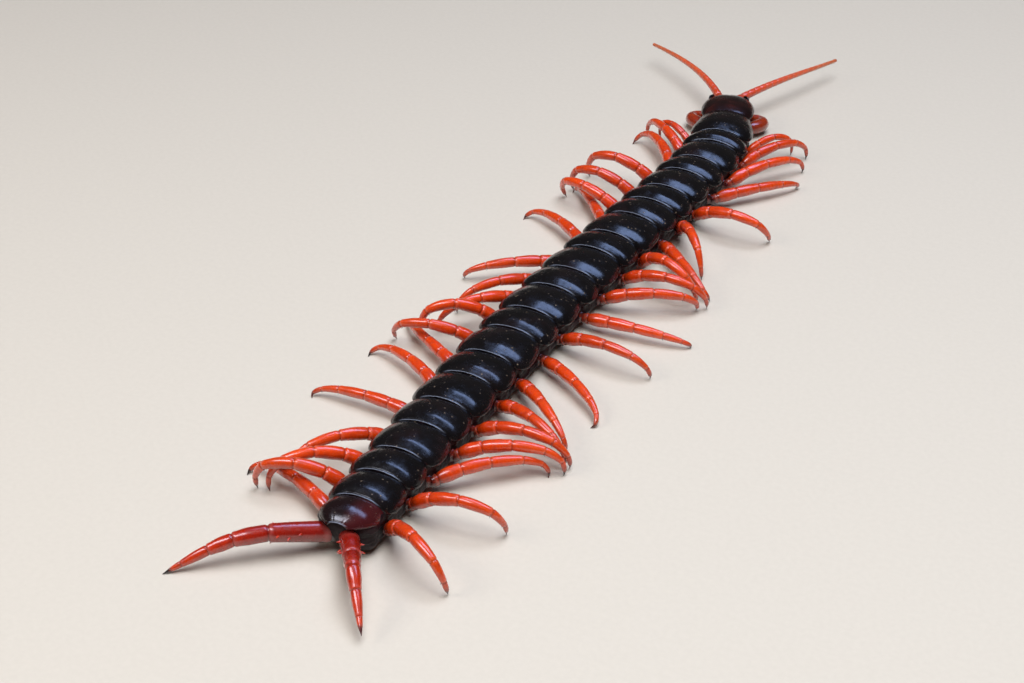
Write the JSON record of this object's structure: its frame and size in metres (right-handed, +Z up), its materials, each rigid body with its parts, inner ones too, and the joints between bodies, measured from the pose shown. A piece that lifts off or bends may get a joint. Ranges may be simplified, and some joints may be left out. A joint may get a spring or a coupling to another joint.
{
  "type": "giant centipede",
  "caption": "Life-size still model of a giant centipede walking: black overlapping back plates, orange-red legs, trailing last legs, head with poison claws and feelers.",
  "frame": {"origin": "on the floor, under the middle of the model's bounding box", "axes": "+Y from tail to head along the model's length, +Z up from the floor, +X to the animal's right"},
  "size_m": [0.0626, 0.2534, 0.0098],
  "materials": {
    "back_plates": "gloss black chitin",
    "head_plate": "gloss dark red-brown chitin",
    "legs": "satin orange chitin",
    "last_legs": "satin red chitin",
    "poison_claws": "gloss red-orange chitin",
    "feelers": "satin orange chitin",
    "eyes": "gloss black lens"
  },
  "bodies": {
    "root": {"trunk_21": "back_plates", "trunk_18_to_20": "back_plates", "trunk_15_to_17": "back_plates", "trunk_12_to_14": "back_plates", "trunk_9_to_11": "back_plates", "trunk_6_to_8": "back_plates", "trunk_3_to_5": "back_plates", "trunk_1_to_2": "back_plates", "head": "head_plate", "poison_claw_base": "poison_claws", "leg_right_01": "legs", "leg_right_02": "legs", "leg_right_03": "legs", "leg_right_04": "legs", "leg_right_05": "legs", "leg_right_06": "legs", "leg_right_07": "legs", "leg_right_08": "legs", "leg_right_09": "legs", "leg_right_10": "legs", "leg_right_11": "legs", "leg_right_12": "legs", "leg_right_13": "legs", "leg_right_14": "legs", "leg_right_15": "legs", "leg_right_16": "legs", "leg_right_17": "legs", "leg_right_18": "legs", "leg_right_19": "legs", "leg_right_20": "legs", "last_leg_right": "last_legs", "feeler_right": "feelers", "poison_claw_right": "poison_claws", "eyes_right": "eyes", "leg_left_01": "legs", "leg_left_02": "legs", "leg_left_03": "legs", "leg_left_04": "legs", "leg_left_05": "legs", "leg_left_06": "legs", "leg_left_07": "legs", "leg_left_08": "legs", "leg_left_09": "legs", "leg_left_10": "legs", "leg_left_11": "legs", "leg_left_12": "legs", "leg_left_13": "legs", "leg_left_14": "legs", "leg_left_15": "legs", "leg_left_16": "legs", "leg_left_17": "legs", "leg_left_18": "legs", "leg_left_19": "legs", "leg_left_20": "legs", "last_leg_left": "last_legs", "feeler_left": "feelers", "poison_claw_left": "poison_claws", "eyes_left": "eyes"}
  },
  "joints": []
}
